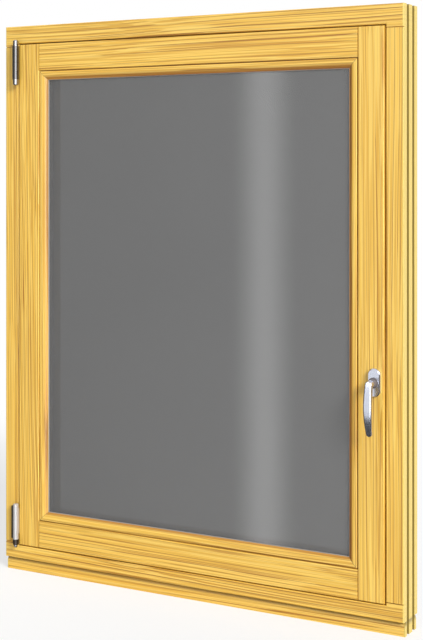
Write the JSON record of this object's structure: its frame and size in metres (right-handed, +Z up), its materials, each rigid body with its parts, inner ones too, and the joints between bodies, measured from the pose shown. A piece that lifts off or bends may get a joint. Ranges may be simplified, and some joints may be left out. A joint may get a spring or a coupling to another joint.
{
  "type": "tilt and turn window",
  "caption": "Single sash tilt and turn window in natural pine with double glazing, a lever handle and two exposed hinges.",
  "frame": {"origin": "centre of the base profile's underside", "axes": "+X to the right seen from the room, -Y towards the room, +Z up"},
  "size_m": [1, 0.1261, 1.28],
  "materials": {
    "pine": "satin varnished",
    "window_glass": "clear",
    "handle_aluminium": "satin",
    "hinge_steel": "satin",
    "rail_aluminium": "satin",
    "spacer_aluminium": "matte",
    "black_rubber": "matte",
    "grey_silicone": "matte",
    "dark_steel": "burnished",
    "black_plastic": "matte"
  },
  "bodies": {
    "window": {"frame_head": "pine", "frame_bottom_rail": "pine", "frame_jamb_hinge_side": "pine", "frame_jamb_handle_side": "pine", "frame_base_profile": "pine", "rain_rail": "rail_aluminium", "rain_rail_cap_left": "black_plastic", "rain_rail_cap_right": "black_plastic", "sash_stile_hinge_side": "pine", "sash_stile_handle_side": "pine", "sash_top_rail": "pine", "sash_bottom_rail": "pine", "bead_top": "pine", "bead_bottom": "pine", "bead_left": "pine", "bead_right": "pine", "pane_inner": "window_glass", "pane_outer": "window_glass", "glazing_spacer": "spacer_aluminium", "glazing_seal_room_side": "grey_silicone", "glazing_seal_outside": "black_rubber", "frame_gasket_room_side": "black_rubber", "frame_gasket_centre": "black_rubber", "upper_hinge_frame_bearing": "dark_steel", "upper_hinge_sash_bearing": "dark_steel", "upper_hinge_pin": "hinge_steel", "lower_hinge_frame_bearing": "dark_steel", "lower_hinge_sash_sleeve": "hinge_steel", "lower_hinge_pin": "hinge_steel", "handle_rose": "handle_aluminium"},
    "handle": {"handle_lever": "handle_aluminium"}
  },
  "joints": [
    {"name": "handle_turn", "type": "hinge", "parent": "window", "child": "handle", "pos_m": [0.439, -0.05, 0.511], "axis": [0, 1, 0], "range_deg": [0, 180]}
  ]
}
